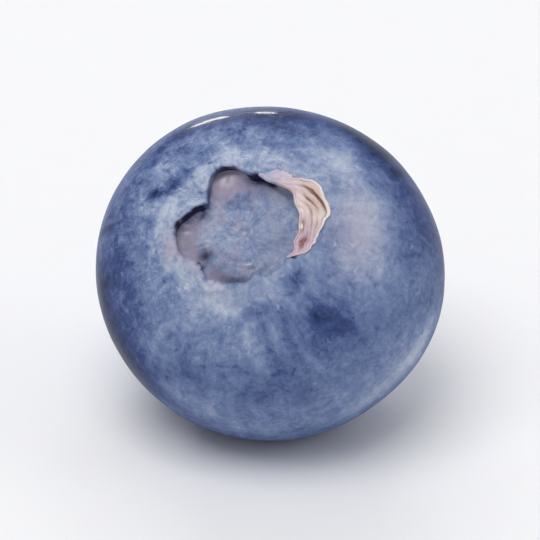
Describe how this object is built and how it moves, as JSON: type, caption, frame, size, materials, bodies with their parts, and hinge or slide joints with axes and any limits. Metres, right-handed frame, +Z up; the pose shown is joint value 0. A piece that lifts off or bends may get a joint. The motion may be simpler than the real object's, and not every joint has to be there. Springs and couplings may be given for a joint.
{
  "type": "blueberry",
  "caption": "Single ripe blueberry lying on its side, a squat round fruit with an open lobed calyx crown at one end and a small stem scar at the other.",
  "frame": {"origin": "middle of the bounding box's underside, on the surface that the berry rests on", "axes": "+Z up; the crown's axis leans 42.5 degrees from +Z towards -Y; +X runs across the berry's width, its longest extent"},
  "size_m": [0.0172, 0.0158, 0.0152],
  "materials": {
    "waxy_skin": "blue-black fruit skin under a patchy pale blue-grey waxy bloom, satin where the bloom is rubbed off",
    "dried_calyx": "dry papery calyx tissue, pinkish tan with cream margins"
  },
  "bodies": {
    "root": {"blueberry": "waxy_skin"}
  },
  "joints": []
}
